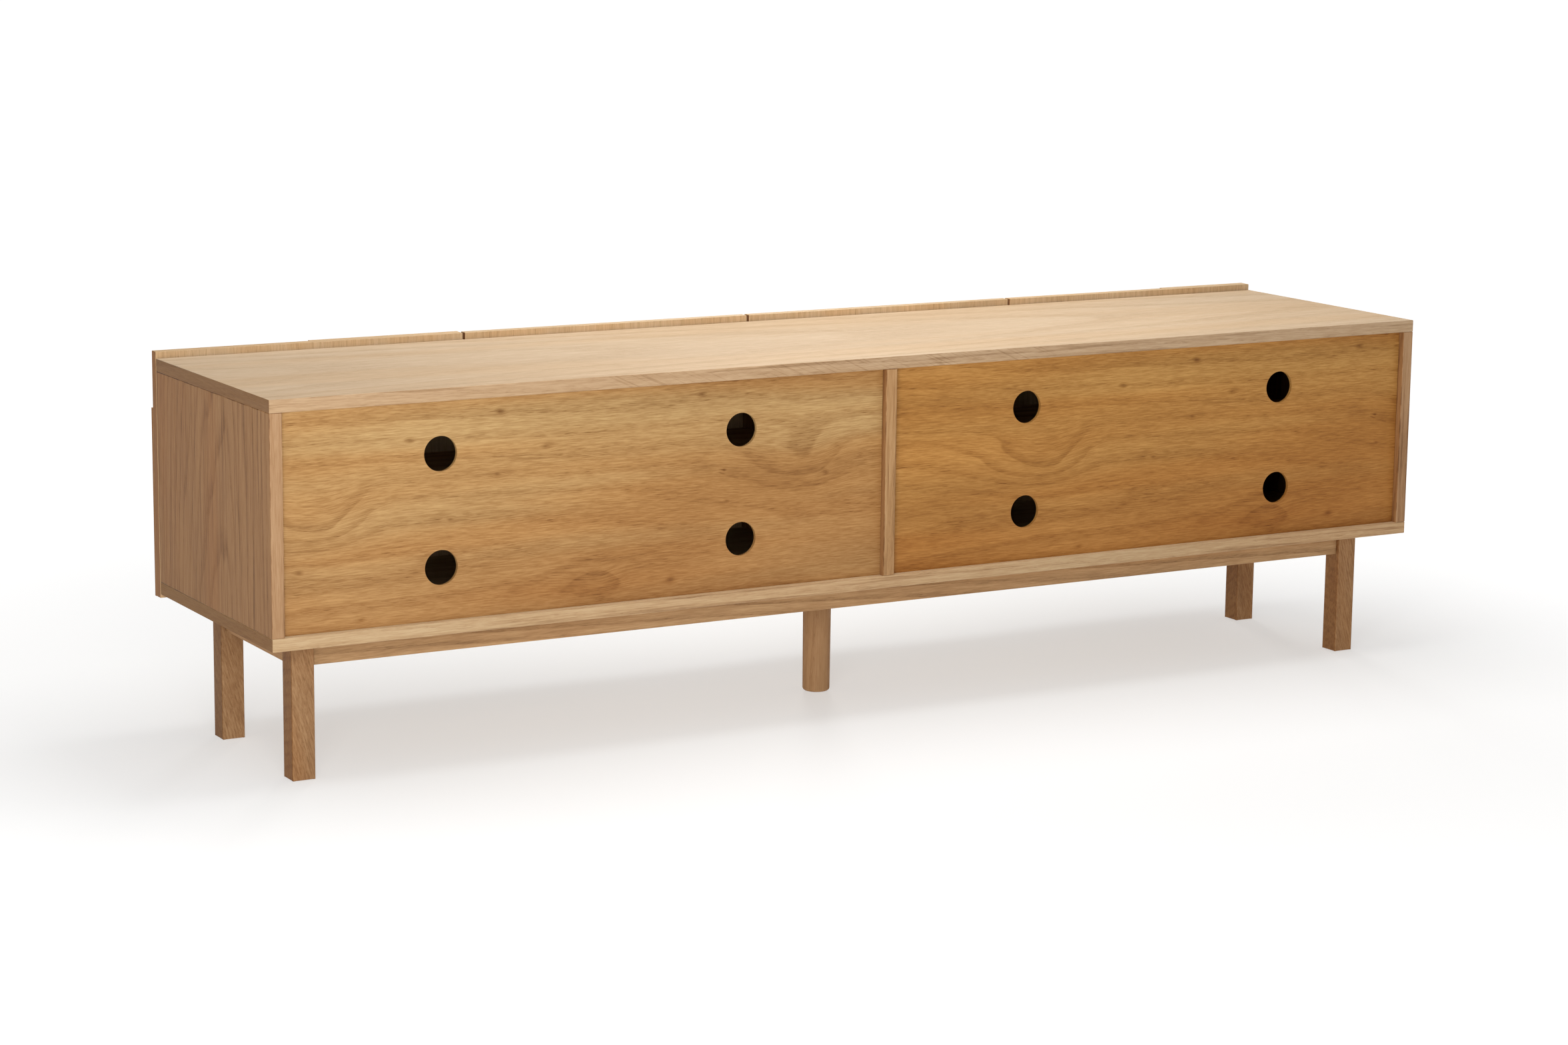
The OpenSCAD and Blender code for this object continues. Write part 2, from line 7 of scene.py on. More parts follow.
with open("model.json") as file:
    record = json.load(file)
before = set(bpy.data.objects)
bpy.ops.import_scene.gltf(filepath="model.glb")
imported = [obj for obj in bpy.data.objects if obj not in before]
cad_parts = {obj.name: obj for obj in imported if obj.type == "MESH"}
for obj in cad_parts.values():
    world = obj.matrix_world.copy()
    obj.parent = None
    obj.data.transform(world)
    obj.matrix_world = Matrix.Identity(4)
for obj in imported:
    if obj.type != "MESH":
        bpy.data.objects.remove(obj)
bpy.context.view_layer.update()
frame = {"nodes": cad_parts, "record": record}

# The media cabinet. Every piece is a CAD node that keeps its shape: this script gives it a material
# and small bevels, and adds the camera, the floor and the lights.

# ---------------------------------------------------------------- camera, floor and light, in metres
CAMERA_PLACE = (2.822, 4.838, 1.319)
CAMERA_AIM = (0.0395, -0.0186, 0.2664)
CAMERA_ROLL = 0.65
CAMERA_LENS = 83.1
CAMERA_REACH = 300.0
FLOOR_HALF = 60.0
FLOOR_GREY = (178, 178, 177)
FLOOR_LIGHT_GREY = (182, 182, 182)
FLOOR_GLOW_NEAR = 0.46
FLOOR_GLOW_FAR = 0.80
FLOOR_GLOW_FROM_TO = (0.6, 2.6)
KEY_PLACE = (1.75, 2.3, 0.95)
KEY_AIM = (0.3, 0.1, 0.35)
KEY_SIZE = 1.1
KEY_WATTS = 35.0
TOP_PLACE = (-0.15, 0.0, 1.9)
TOP_AIM = (-0.15, 0.0, 0.0)
TOP_SIZE = 1.5
TOP_WATTS = 23.5
FILL_PLACE = (-1.7, -3.2, 0.42)
FILL_AIM = (0.0, -0.1, 0.35)
FILL_SIZE = 0.7
FILL_WATTS = 36.0
OVERHEAD_FROM = (0.0, 0.15, 1.0)
OVERHEAD_STRENGTH = 1.2
OVERHEAD_SOFTNESS = 90
AMBIENT = 0.06
AMBIENT_COLOUR = (1.0, 0.94, 0.86, 1.0)
WHITE = (1.0, 1.0, 1.0, 1.0)
REFLECTED = 0.5

# ---------------------------------------------------------------- edges
# bevel widths and the shortest edges that get a bevel, in metres, and angles in degrees
BOARD_BEVEL = 0.0010
BOARD_EDGE = 0.015
HARDWARE_BEVEL = 0.0002
HARDWARE_EDGE = 0.0015
SHARP_ABOVE = 60
SMOOTH_BELOW = 21
WELD = 0.000002

# ---------------------------------------------------------------- fine marks per metre along each axis
STEEL_MARKS = (60.0, 900.0, 900.0)
ZINC_MARKS = (700.0, 700.0, 700.0)


def srgb(red, green, blue):
    """A colour given as it looks on a screen, 0 to 255, as the linear colour that shaders take."""

    def linear(value):
        share = value / 255
        return share / 12.92 if share <= 0.04045 else ((share + 0.055) / 1.055) ** 2.4

    return (linear(red), linear(green), linear(blue), 1.0)


class Graph:
    """A new material and short calls for the shader nodes that the recipes below share."""

    def __init__(self, name):
        self.material = bpy.data.materials.new(name)
        self.material.use_nodes = True
        self.tree = self.material.node_tree
        self.tree.nodes.clear()
        self.coordinates = self.add("TexCoord")
        self.place = self.coordinates.outputs["Object"]
        self.normal = self.coordinates.outputs["Normal"]

    def add(self, kind, **settings):
        made = self.tree.nodes.new("ShaderNode" + kind)
        for key, value in settings.items():
            setattr(made, key, value)
        return made

    def put(self, socket, value):
        if isinstance(value, bpy.types.NodeSocket):
            self.tree.links.new(value, socket)
        else:
            socket.default_value = value

    def math(self, operation, a, b=0.0, c=0.0, clamp=False):
        made = self.add("Math", operation=operation, use_clamp=clamp)
        for socket, value in zip(made.inputs, (a, b, c)):
            self.put(socket, value)
        return made.outputs[0]

    def times_plus(self, a, b, c):
        return self.math("MULTIPLY_ADD", a, b, c)

    def join(self, x, y, z):
        made = self.add("CombineXYZ")
        for socket, value in zip(made.inputs, (x, y, z)):
            self.put(socket, value)
        return made.outputs[0]

    def split(self, vector):
        made = self.add("SeparateXYZ")
        self.put(made.inputs[0], vector)
        return made.outputs

    def stretch(self, vector, scale, shift=(0.0, 0.0, 0.0)):
        made = self.add("Mapping")
        self.put(made.inputs["Vector"], vector)
        made.inputs["Scale"].default_value = scale
        made.inputs["Location"].default_value = shift
        return made.outputs[0]

    def noise(self, vector, scale, shift=0.0, detail=2.0, rough=0.5):
        """Noise from about 0 to 1 around 0.5, with features of 1 / scale metres along each axis."""
        made = self.add("TexNoise")
        spread = (shift, shift * 1.7, shift * 0.6)
        self.put(made.inputs["Vector"], self.stretch(vector, scale, spread))
        made.inputs["Scale"].default_value = 1.0
        made.inputs["Detail"].default_value = detail
        made.inputs["Roughness"].default_value = rough
        return made

    def grade(self, value, low, high, start=0.0, end=1.0):
        """value from low..high, smoothly to start..end, and held there outside."""
        made = self.add("MapRange", interpolation_type="SMOOTHSTEP")
        for socket, number in zip(made.inputs, (value, low, high, start, end)):
            self.put(socket, number)
        return made.outputs[0]

    def ramp(self, value, *stops):
        made = self.add("ValToRGB")
        band = made.color_ramp
        while len(band.elements) < len(stops):
            band.elements.new(1.0)
        for element, (position, colour) in zip(band.elements, stops):
            element.position = position
            element.color = colour
        self.put(made.inputs[0], value)
        return made.outputs[0]

    def mix(self, share, a, b, blend="MIX"):
        made = self.add("Mix", data_type="RGBA", blend_type=blend)
        self.put(made.inputs[0], share)
        self.put(made.inputs[6], a)
        self.put(made.inputs[7], b)
        return made.outputs[2]

    def mix_vector(self, share, a, b):
        made = self.add("Mix", data_type="VECTOR")
        self.put(made.inputs[0], share)
        self.put(made.inputs[4], a)
        self.put(made.inputs[5], b)
        return made.outputs[1]

    def edge(self):
        """1 where a bevel or rounding turns between two flat faces, 0 on the faces themselves."""
        x, y, z = (self.math("ABSOLUTE", part) for part in self.split(self.normal))
        widest = self.math("MAXIMUM", self.math("MAXIMUM", x, y), z)
        return self.grade(widest, 0.93, 0.995, 1.0, 0.0)

    def bump(self, height, distance, strength=1.0, below=None):
        made = self.add("Bump")
        self.put(made.inputs["Height"], height)
        made.inputs["Distance"].default_value = distance
        made.inputs["Strength"].default_value = strength
        if below is not None:
            self.put(made.inputs["Normal"], below)
        return made.outputs[0]

    def shade(self, colour, roughness, normal, **constants):
        shader = self.add("BsdfPrincipled")
        output = self.add("OutputMaterial")
        self.put(shader.inputs["Base Color"], colour)
        self.put(shader.inputs["Roughness"], roughness)
        self.put(shader.inputs["Normal"], normal)
        for key, value in constants.items():
            shader.inputs[key.replace("_", " ")].default_value = value
        self.tree.links.new(shader.outputs[0], output.inputs[0])
        return self.material


# ---------------------------------------------------------------- oak


# What sets one board's oak apart from another's. ring, patch, streak, fibre, pore, whorl, lines and
# edge say how much lighter or darker these make the wood, and their scales are features per metre
# along, across and out of the board. An edge above 0 lightens the bevels as wear, and an edge below
# 0 darkens them as painted shade, like the shade in the grooves at the joints. pith is where the
# tree's centre runs, across and out of the board, in metres from the frame's origin. lean is how
# much it drifts per metre, and spacing is the width of a growth ring.
OAK_TRAITS = {
    "pith": (0.0, -0.05),
    "lean": (0.01, 0.03),
    "spacing": 0.011,
    "wander": 1.4,
    "ring": 0.30,
    "patch": 0.55,
    "patch_scale": (1.1, 8.0, 8.0),
    "streak": 0.50,
    "streak_scale": (7.0, 150.0, 150.0),
    "fibre": 0.17,
    "fibre_scale": (34.0, 640.0, 640.0),
    "ring_width": 0.55,
    "pore": 0.30,
    "pore_scale": (75.0, 1900.0, 1900.0),
    "warm": 0.5,
    "tints": (),
    "low_shade_and_tone": None,
    "whorl": 0.2,
    "lines": 0.0,
    "lines_scale": (3.2, 210.0, 210.0),
    "lines_axis": None,
    "sway": 0.022,
    "edge": 0.05,
    "ring_scale": (1.2, 8.0, 8.0),
    "slope": 0.0,
    "shift": 0.0,
    "roughness": 0.58,
}

# the tone of plain wood, its faint gloss, and how squarely a face has to look along an axis
MEAN_TONE = 0.62
OAK_SPECULAR = 0.16
FACING = 0.7

# A knot or whorl fades out as BELL to the power of its squared distance, more slowly along the grain
# by the factor ALONG. Fibres part round a knot. At a whorl, which is steeper on one side, the rings
# rise and the fibres bend.
BELL = 0.37
KNOT_ALONG = 0.55
KNOT_PART = -0.7
WHORL_ALONG = 0.42
WHORL_STEEP = 1.7
WHORL_RISE = 1.15
WHORL_BEND = 0.34
WHORL_LINES = 0.7

# ray flecks that cross the grain
RAY_SLANT = 0.45
RAY_FADE = 0.12
RAY_DARK = 0.2


def facing(g, axis):
    """1 on the faces normal to that axis, 0 elsewhere."""
    toward = dict(zip("XYZ", g.split(g.normal)))[axis]
    return g.math("GREATER_THAN", g.math("ABSOLUTE", toward), FACING)


def board_point(g, order, band_axis, band_order):
    """Board coordinates: x along the grain, y across it in the face, z out of the face. The faces
    normal to band_axis have an edge band, whose grain runs along them."""
    parts = dict(zip("XYZ", g.split(g.place)))
    face = g.join(*(parts[axis] for axis in order))
    if band_axis is None:
        return face
    band = g.join(*(parts[axis] for axis in band_order))
    return g.mix_vector(facing(g, band_axis), face, band)


def around_knots(g, point, knots):
    """The grain parts and runs round each knot (x, y, radius, strength). Returns the bent point and
    how dark the knots are."""
    x, y, z = g.split(point)
    bent = y
    dark = 0.0
    for knot_x, knot_y, radius, strength in knots:
        across = g.times_plus(y, 1 / radius, -knot_y / radius)
        along = g.times_plus(x, KNOT_ALONG / radius, -KNOT_ALONG * knot_x / radius)
        away = g.times_plus(across, across, g.math("MULTIPLY", along, along))
        near = g.math("POWER", BELL, away)
        bent = g.times_plus(g.math("MULTIPLY", across, near), radius * KNOT_PART, bent)
        dark = g.times_plus(g.math("POWER", near, 3.0), strength, dark)
    return g.join(x, bent, z), dark


def around_whorls(g, point, whorls):
    """At each whorl (x, y, size), the layers of the wood rise in a hump, steeper towards -x. Returns
    the point, slightly bent, how far the layers rise and how brown the whorls are."""
    x, y, z = g.split(point)
    rise = 0.0
    brown = 0.0
    for centre_x, centre_y, size in whorls:
        across = g.times_plus(y, 1 / size, -centre_y / size)
        ahead = g.times_plus(x, WHORL_ALONG / size, -WHORL_ALONG * centre_x / size)
        along = g.math("MAXIMUM", ahead, g.math("MULTIPLY", ahead, -WHORL_STEEP))
        away = g.times_plus(across, across, g.math("MULTIPLY", along, along))
        near = g.math("POWER", BELL, away)
        rise = g.times_plus(near, size, rise)
        brown = g.math("ADD", near, brown)
    return g.join(x, g.times_plus(rise, WHORL_BEND, y), z), rise, brown


def rings(g, point, rise, seed, t):
    """How deep a point is in the dark line of its growth ring, 0 to 1. The pith runs along x at
    (y, z) = pith and leans, so a flat-sawn face shows nested arches."""
    x, y, z = g.split(point)
    drift = g.noise(point, t["ring_scale"], seed, detail=3.0, rough=0.55)
    off_y = g.math("SUBTRACT", y, g.times_plus(x, t["lean"][0], t["pith"][0]))
    off_z = g.math("SUBTRACT", z, g.times_plus(x, t["lean"][1], t["pith"][1]))
    if rise is not None:
        off_z = g.times_plus(rise, WHORL_RISE, off_z)
    square = g.times_plus(off_y, off_y, g.math("MULTIPLY", off_z, off_z))
    radius = g.math("SQRT", square)
    turns = g.times_plus(radius, 1 / t["spacing"], g.math("MULTIPLY", drift.outputs[0], t["wander"]))
    share = g.math("FRACT", turns)
    falling = g.grade(share, 0.0, t["ring_width"], 1.0, 0.0)
    rising = g.grade(share, 0.9, 1.0, 0.0, 1.0)
    return g.math("MAXIMUM", falling, rising)


def ray_net(g, point, low, high):
    """Thin slanting ray flecks that cross the grain of the rear face, only from x = low to high."""
    x, y, z = g.split(point)
    slant = g.times_plus(x, -RAY_SLANT, z)
    crossing = g.noise(g.join(x, slant, 0.0), (9.0, 330.0, 1.0), 3.1, detail=2.0)
    level = g.noise(g.join(x, z, 0.0), (30.0, 420.0, 1.0), 9.2, detail=2.0)
    crossing = g.grade(crossing.outputs[0], 0.55, 0.66)
    level = g.grade(level.outputs[0], 0.6, 0.72)
    lines = g.math("MAXIMUM", crossing, level)
    begin = g.grade(x, low, low + RAY_FADE)
    inside = g.math("MULTIPLY", begin, g.grade(x, high - RAY_FADE, high, 1.0, 0.0))
    rear = g.math("GREATER_THAN", g.split(g.normal)[1], FACING)
    return g.math("MULTIPLY", lines, g.math("MULTIPLY", inside, rear))


def shifted(g, point, t):
    """The point, moved along the sheet that the board is cut from."""
    x, y, z = g.split(point)
    return g.join(g.math("ADD", x, t["shift"]), y, z)


def sloped(g, point, t):
    """The point, where the grain runs at a slope to the board."""
    x, y, z = g.split(point)
    return g.join(x, g.times_plus(x, t["slope"], y), g.times_plus(x, t["slope"] / 2, z))


def swayed(g, point, seed, t):
    """The point, where the grain sways slowly from side to side."""
    sway = g.noise(point, (1.3, 5.0, 5.0), seed + 5.3, detail=2.0)
    bend = g.add("VectorMath", operation="MULTIPLY_ADD")
    g.put(bend.inputs[0], sway.outputs[1])
    bend.inputs[1].default_value = (0.0, t["sway"], t["sway"] / 2)
    g.put(bend.inputs[2], point)
    return bend.outputs[0]


def wood_layers(g, wood, rise, seed, t):
    """What the wood is made of at each point: ring lines, patches, streaks, fibres and pores."""
    line = rings(g, wood, rise, seed, t)
    pores = g.noise(wood, t["pore_scale"], seed + 4.4, detail=1.0)
    pore = g.grade(pores.outputs[0], 0.60, 0.72)
    return {
        "line": line,
        "patch": g.noise(wood, t["patch_scale"], seed + 1.9, detail=2.5).outputs[0],
        "streak": g.noise(wood, t["streak_scale"], seed + 8.7, detail=3.0, rough=0.6).outputs[0],
        "fibre": g.noise(wood, t["fibre_scale"], seed + 2.3, detail=2.0, rough=0.6).outputs[0],
        "pore": g.math("MULTIPLY", pore, g.times_plus(line, 0.7, 0.3)),
    }


def wood_tone(g, layers, brown, t):
    """How light the wood is, from 0, dark, to 1, light. Ring lines are weaker in some patches and
    stronger in whorls."""
    uneven = g.grade(layers["patch"], 0.3, 0.7, 0.35, 1.0)
    if brown is not None:
        uneven = g.times_plus(brown, WHORL_LINES, uneven)
    crisp = g.grade(layers["fibre"], 0.36, 0.64)
    tone = g.times_plus(layers["patch"], t["patch"], MEAN_TONE - t["patch"] / 2)
    tone = g.times_plus(layers["streak"], t["streak"], g.math("ADD", tone, -t["streak"] / 2))
    tone = g.times_plus(crisp, t["fibre"], g.math("ADD", tone, -t["fibre"] / 2))
    tone = g.times_plus(g.math("MULTIPLY", layers["line"], uneven), -t["ring"], tone)
    tone = g.times_plus(layers["pore"], -t["pore"], tone)
    if brown is not None:
        tone = g.times_plus(brown, -t["whorl"], tone)
    return tone


def thin_lines(g, wood, seed, t):
    """Thin lines along the grain, on every face or only on those normal to lines_axis."""
    thin = g.noise(wood, t["lines_scale"], seed + 3.7, detail=3.0, rough=0.55)
    lines = g.grade(thin.outputs[0], 0.52, 0.66)
    if t["lines_axis"]:
        lines = g.math("MULTIPLY", lines, facing(g, t["lines_axis"]))
    return lines


def wood_colour(g, tone, wood, colours, seed, t):
    """The colour of a tone, with a slow drift of hue and the tints that the traits ask for. The tints
    on the faces normal to X are painted shade, and so in part is the darkening towards the bottom.
    """
    dark, middle, light, warm = colours
    colour = g.ramp(tone, (0.0, dark), (0.5, middle), (1.0, light))
    hue = g.noise(wood, (0.9, 13.0, 13.0), seed + 6.1, detail=1.5)
    share = g.grade(hue.outputs[0], 0.38, 0.66, 0.0, t["warm"])
    colour = g.mix(share, colour, warm, blend="MULTIPLY")
    # darker and warmer towards the bottom: painted shade in part, the wood's own tone in part
    if t["low_shade_and_tone"]:
        low = g.grade(g.split(g.place)[2], *VENEER_LOW_HIGH, 1.0, 0.0)
        colour = g.mix(low, colour, t["low_shade_and_tone"], blend="MULTIPLY")
    # tints on the faces normal to one axis; those on the faces normal to X are painted shade
    for axis, tint in t["tints"]:
        colour = g.mix(facing(g, axis), colour, tint, blend="MULTIPLY")
    return colour


def oak(name, order, seed, colours, band=(None, None), knots=(), whorls=(), net=None, **traits):
    """Matt-lacquered oak. order names the axes along the grain, across it and out of the face.
    colours go from dark to light, then a tint. net is where ray flecks cross the rear face, and
    traits change OAK_TRAITS."""
    t = dict(OAK_TRAITS)
    t.update(traits)
    g = Graph(name)
    point = board_point(g, order, *band)
    dark_knots = None
    rise = None
    brown = None
    if t["shift"]:
        point = shifted(g, point, t)
    if knots:
        point, dark_knots = around_knots(g, point, knots)
    if whorls:
        point, rise, brown = around_whorls(g, point, whorls)
    if t["slope"]:
        point = sloped(g, point, t)
    wood = swayed(g, point, seed, t)

    layers = wood_layers(g, wood, rise, seed, t)
    tone = wood_tone(g, layers, brown, t)
    if dark_knots is not None:
        tone = g.math("SUBTRACT", tone, dark_knots)
    if net:
        tone = g.times_plus(ray_net(g, point, *net), -RAY_DARK, tone)
    # the bevels lighten as wear where the edge trait is above 0, and darken as painted shade in the
    # joints and grooves where it is below 0
    wear_and_groove_shade = g.noise(g.place, (35.0, 35.0, 35.0), seed + 7.7, detail=3.0)
    edge = g.math("MULTIPLY", g.edge(), g.grade(wear_and_groove_shade.outputs[0], 0.4, 0.65))
    tone = g.times_plus(edge, t["edge"], tone)
    if t["lines"]:
        tone = g.times_plus(thin_lines(g, wood, seed, t), -t["lines"], tone)

    colour = wood_colour(g, tone, wood, colours, seed, t)
    sheen = g.times_plus(layers["streak"], 0.16, t["roughness"] - 0.08)
    sheen = g.times_plus(layers["pore"], 0.10, sheen)
    sheen = g.times_plus(edge, -0.08, sheen)
    grain = g.bump(layers["fibre"], 0.00006, 0.55)
    relief = g.bump(layers["pore"], -0.00012, 0.6, below=grain)
    return g.shade(colour, sheen, relief, Specular_IOR_Level=OAK_SPECULAR)


# dark, middle and light wood, and a tint that drifts over it
PALE = (srgb(142, 112, 82), srgb(192, 165, 133), srgb(224, 202, 174), srgb(255, 246, 232))
EDGING = (srgb(143, 110, 77), srgb(197, 168, 130), srgb(228, 208, 172), srgb(255, 240, 228))
GOLDEN = (srgb(112, 73, 35), srgb(171, 133, 84), srgb(210, 176, 122), srgb(255, 226, 190))
# painted shade: a darker, warmer copy of GOLDEN for the back panel farther from the key light
GOLDEN_IN_SHADE = (srgb(110, 66, 26), srgb(169, 121, 62), srgb(210, 162, 94), srgb(255, 232, 200))
BROWN = (srgb(122, 88, 58), srgb(172, 134, 96), srgb(202, 168, 130), srgb(255, 238, 220))
LEG = (srgb(88, 58, 35), srgb(147, 109, 73), srgb(181, 144, 104), srgb(255, 234, 208))
RAIL = (srgb(103, 74, 46), srgb(173, 136, 96), srgb(210, 175, 131), srgb(255, 234, 208))
ROUND_LEG = (srgb(88, 62, 38), srgb(156, 118, 81), srgb(190, 153, 112), srgb(255, 238, 216))
DOOR = (srgb(143, 113, 79), srgb(198, 169, 132), srgb(227, 201, 166), srgb(255, 240, 218))
INNER = (srgb(140, 98, 60), srgb(196, 154, 110), srgb(222, 186, 142), srgb(255, 240, 220))
EDGE_TINT = srgb(238, 230, 222)
# painted shade: darkens the ends of the top and bottom boards, the faces normal to X
END_SHADE_TINT = srgb(175, 147, 114)
# painted shade: darkens the faces of the side panels and divider normal to X, which the lamps leave in
# shade
SIDE_SHADE_TINT = srgb(224, 208, 186)
UPRIGHT_TINT = srgb(242, 238, 236)
DIVIDER_TINT = srgb(255, 250, 236)
# painted shade: darkens the legs' sides normal to X, where less key light falls
LEG_SHADE_TINT = srgb(226, 212, 190)
# painted shade: darkens the door ends, normal to X, which stand in the narrow gaps and at the row's
# ends
DOOR_END_SHADE_TINT = srgb(186, 156, 128)
# darker and warmer towards the bottom of the back panels: painted shade in part, the wood's tone in
# part
VENEER_LOW_SHADE_AND_TONE = srgb(232, 216, 204)

# the veneer of the back panels, both cut from one sheet pattern: knots as x, z, radius, strength
VENEER_KNOTS = (
    (0.785, 0.486, 0.007, 0.32),
    (0.645, 0.519, 0.007, 0.36),
    (0.572, 0.463, 0.008, 0.36),
    (0.650, 0.428, 0.005, 0.26),
    (0.724, 0.369, 0.005, 0.24),
    (0.954, 0.312, 0.006, 0.32),
    (0.862, 0.236, 0.006, 0.26),
    (0.318, 0.522, 0.006, 0.30),
    (0.281, 0.407, 0.004, 0.26),
    (0.277, 0.360, 0.004, 0.26),
    (0.108, 0.390, 0.005, 0.32),
    (0.370, 0.250, 0.007, 0.24),
)
# and whorls as x, z, size
VENEER_WHORLS = (
    (0.925, 0.385, 0.048),
    (0.145, 0.412, 0.046),
    (0.490, 0.264, 0.024),
)
# how much further along the sheet the left panel is cut, and the heights between which both panels
# turn darker and warmer towards the bottom, partly as painted shade and partly as the wood's tone
SHEET_SHIFT = 1.218
VENEER_LOW_HIGH = (0.18, 0.50)


def plastic(name, colour, mottled, roughness, grain=0.00004, **constants):
    """Moulded plastic: a faint spark-eroded grain, slow colour drift and rubbed edges."""
    g = Graph(name)
    cloud = g.noise(g.place, (60.0, 60.0, 60.0), 1.3, detail=3.0)
    spark = g.noise(g.place, (2600.0, 2600.0, 2600.0), 4.1, detail=2.0)
    rubbed = g.math("MULTIPLY", g.edge(), g.grade(cloud.outputs[0], 0.4, 0.65))
    base = g.mix(g.grade(cloud.outputs[0], 0.35, 0.7), colour, mottled)
    sheen = g.times_plus(cloud.outputs[0], 0.14, roughness - 0.07)
    sheen = g.times_plus(rubbed, -0.12, sheen)
    return g.shade(base, sheen, g.bump(spark.outputs[0], grain, 0.7), **constants)


def metal(name, colour, tarnish, roughness, brush, **constants):
    """Plated metal: fine marks stretched as brush says, dull spots and bright edges."""
    g = Graph(name)
    marks = g.noise(g.place, brush, 2.2, detail=3.0, rough=0.65)
    cloud = g.noise(g.place, (90.0, 90.0, 90.0), 5.9, detail=4.0, rough=0.6)
    spots = g.grade(cloud.outputs[0], 0.52, 0.74)
    base = g.mix(spots, colour, tarnish)
    base = g.mix(g.math("MULTIPLY", g.edge(), 0.35), base, srgb(240, 240, 238))
    sheen = g.times_plus(marks.outputs[0], 0.22, roughness - 0.11)
    sheen = g.times_plus(spots, 0.14, sheen)
    normal = g.bump(marks.outputs[0], 0.00003, 0.6)
    return g.shade(base, sheen, normal, Metallic=1.0, **constants)


# ---------------------------------------------------------------- modifiers


def geometry_group(name):
    """A geometry node group with its input and output, and short calls for nodes and links."""
    group = bpy.data.node_groups.new(name, "GeometryNodeTree")
    group.interface.new_socket("Geometry", in_out="INPUT", socket_type="NodeSocketGeometry")
    group.interface.new_socket("Geometry", in_out="OUTPUT", socket_type="NodeSocketGeometry")
    new, link = group.nodes.new, group.links.new
    return group, new("NodeGroupInput"), new("NodeGroupOutput"), new, link


def weld_group(shortest):
    """Geometry nodes that join the split vertices and weigh long sharp edges for the bevel."""
    group, source, result, new, link = geometry_group("weld_and_weigh")
    weld = new("GeometryNodeMergeByDistance")
    weld.inputs["Distance"].default_value = WELD
    angle = new("GeometryNodeInputMeshEdgeAngle")
    ends = new("GeometryNodeInputMeshEdgeVertices")
    length = new("ShaderNodeVectorMath")
    length.operation = "DISTANCE"
    sharp, long_one = new("FunctionNodeCompare"), new("FunctionNodeCompare")
    both = new("FunctionNodeBooleanMath")
    sharp.inputs[1].default_value = math.radians(SHARP_ABOVE)
    long_one.inputs[1].default_value = shortest
    store = new("GeometryNodeStoreNamedAttribute")
    store.data_type = "FLOAT"
    store.domain = "EDGE"
    store.inputs["Name"].default_value = "bevel_weight_edge"
    plain = new("GeometryNodeRemoveAttribute")
    plain.inputs["Name"].default_value = "custom_normal"
    link(source.outputs[0], plain.inputs["Geometry"])
    link(plain.outputs[0], weld.inputs["Geometry"])
    link(angle.outputs["Unsigned Angle"], sharp.inputs[0])
    link(ends.outputs["Position 1"], length.inputs[0])
    link(ends.outputs["Position 2"], length.inputs[1])
    link(length.outputs["Value"], long_one.inputs[0])
    link(sharp.outputs[0], both.inputs[0])
    link(long_one.outputs[0], both.inputs[1])
    link(weld.outputs[0], store.inputs["Geometry"])
    link(both.outputs[0], store.inputs["Value"])
    link(store.outputs[0], result.inputs[0])
    return group


def smooth_group(limit):
    """Geometry nodes that shade curved faces smooth and keep edges sharper than limit."""
    group, source, result, new, link = geometry_group("smooth_by_angle")
    faces, edges = new("GeometryNodeSetShadeSmooth"), new("GeometryNodeSetShadeSmooth")
    faces.domain = "FACE"
    edges.domain = "EDGE"
    edges.inputs["Shade Smooth"].default_value = False
    angle, over = new("GeometryNodeInputMeshEdgeAngle"), new("FunctionNodeCompare")
    over.inputs[1].default_value = math.radians(limit)
    link(source.outputs[0], faces.inputs["Geometry"])
    link(faces.outputs[0], edges.inputs["Geometry"])
    link(angle.outputs["Unsigned Angle"], over.inputs[0])
    link(over.outputs[0], edges.inputs["Selection"])
    link(edges.outputs[0], result.inputs[0])
    return group


def soften(piece, weld, smooth, width):
    """Small bevels on the sharp edges of a CAD node, as modifiers, and smooth shading of its curves."""
    piece.modifiers.new("weld", "NODES").node_group = weld
    bevel = piece.modifiers.new("bevel", "BEVEL")
    bevel.limit_method = "WEIGHT"
    bevel.width = width
    bevel.segments = 2
    bevel.loop_slide = False
    piece.modifiers.new("smooth", "NODES").node_group = smooth


# ---------------------------------------------------------------- stage


def add_to_scene(data, place, aim, roll=0.0):
    """A camera or light at place, facing aim."""
    made = bpy.data.objects.new(data.name, data)
    bpy.context.scene.collection.objects.link(made)
    turn = (Vector(aim) - Vector(place)).to_track_quat("-Z", "Y")
    made.location = place
    made.rotation_mode = "QUATERNION"
    made.rotation_quaternion = turn @ Quaternion((0.0, 0.0, 1.0), math.radians(roll))
    return made


def make_camera():
    data = bpy.data.cameras.new("camera")
    data.sensor_width = 36.0
    data.lens = CAMERA_LENS
    data.clip_end = CAMERA_REACH
    bpy.context.scene.camera = add_to_scene(data, CAMERA_PLACE, CAMERA_AIM, CAMERA_ROLL)


def area_light(name, place, aim, size, watts):
    data = bpy.data.lights.new(name, "AREA")
    data.shape = "RECTANGLE"
    data.size = size
    data.size_y = size
    data.energy = watts
    add_to_scene(data, place, aim)


def make_lights():
    area_light("key", KEY_PLACE, KEY_AIM, KEY_SIZE, KEY_WATTS)
    area_light("front_fill", FILL_PLACE, FILL_AIM, FILL_SIZE, FILL_WATTS)
    area_light("top_light", TOP_PLACE, TOP_AIM, TOP_SIZE, TOP_WATTS)
    data = bpy.data.lights.new("overhead", "SUN")
    data.energy = OVERHEAD_STRENGTH
    data.angle = math.radians(OVERHEAD_SOFTNESS)
    add_to_scene(data, OVERHEAD_FROM, (0.0, 0.0, 0.0))


